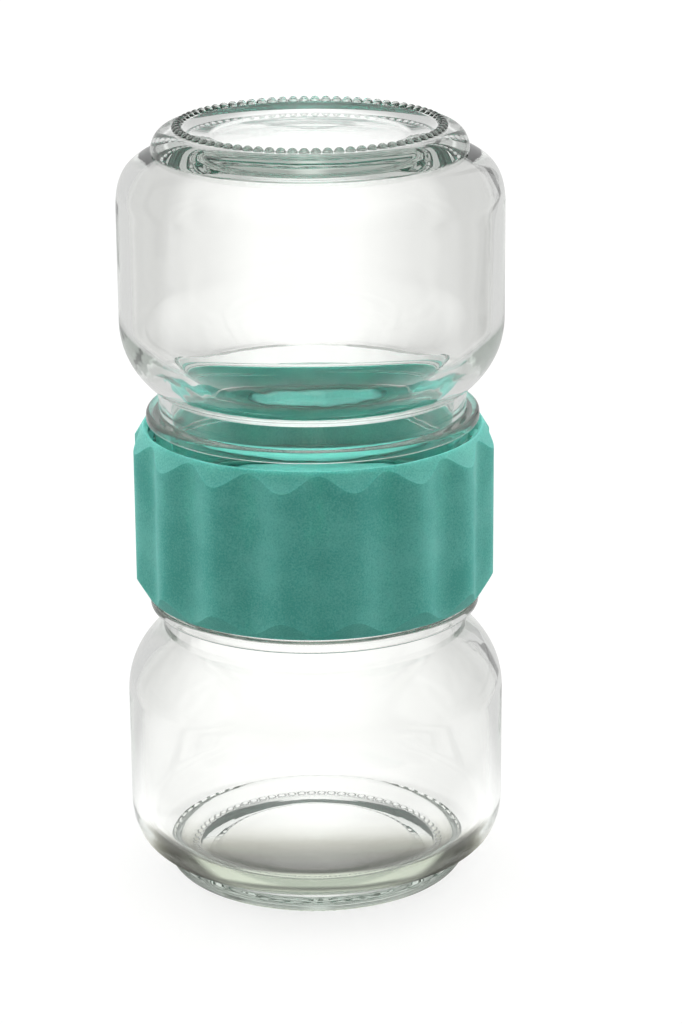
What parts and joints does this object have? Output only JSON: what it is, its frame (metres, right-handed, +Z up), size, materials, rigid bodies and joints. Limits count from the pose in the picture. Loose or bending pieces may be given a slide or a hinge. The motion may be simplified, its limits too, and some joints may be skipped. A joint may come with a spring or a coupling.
{
  "type": "food storage container",
  "caption": "Twin glass food jars screwed mouth to mouth into a double ended fluted coupler, with a closed web and flat sealing rings between them.",
  "frame": {"origin": "middle of the circle of foot beads that the lower jar stands on, in the plane of their flats", "axes": "+Z up along the common axis of both jars and of both screw threads; -Y is the side that faces the viewer in the picture"},
  "size_m": [0.072, 0.072, 0.147],
  "materials": {
    "lower_glass": "clear pressed soda-lime glass, smooth and bright, with mould ripple and a knurled foot",
    "upper_glass": "clear pressed soda-lime glass, smooth and bright, with mould ripple and a knurled foot",
    "coupler_nylon": "matte teal dyed nylon with a fine sintered grain",
    "lower_seal_rubber": "clear milky silicone, satin",
    "upper_seal_rubber": "clear milky silicone, satin"
  },
  "bodies": {
    "lower_jar": {"lower_jar": "lower_glass"},
    "lower_seal": {"lower_seal": "lower_seal_rubber"},
    "coupler": {"coupler": "coupler_nylon"},
    "upper_seal": {"upper_seal": "upper_seal_rubber"},
    "upper_jar": {"upper_jar": "upper_glass"}
  },
  "joints": [
    {"name": "lower_lift", "type": "slide", "parent": "lower_jar", "child": "lower_seal", "axis": [0, 0, 1], "range_m": [0, 0.0144]},
    {"name": "lower_twist", "type": "hinge", "parent": "lower_seal", "child": "coupler", "pos_m": [0, 0, 0.0735], "axis": [0, 0, 1], "range_deg": [0, 360]},
    {"name": "upper_twist", "type": "hinge", "parent": "coupler", "child": "upper_seal", "pos_m": [0, 0, 0.0735], "axis": [0, 0, 1], "range_deg": [0, 360]},
    {"name": "upper_lift", "type": "slide", "parent": "upper_seal", "child": "upper_jar", "axis": [0, 0, 1], "range_m": [0, 0.0144]}
  ],
  "couplings": [
    {"joint": "lower_lift", "follows": "lower_twist", "m_per_rad": 0.0022918},
    {"joint": "upper_lift", "follows": "upper_twist", "m_per_rad": 0.0022918}
  ]
}
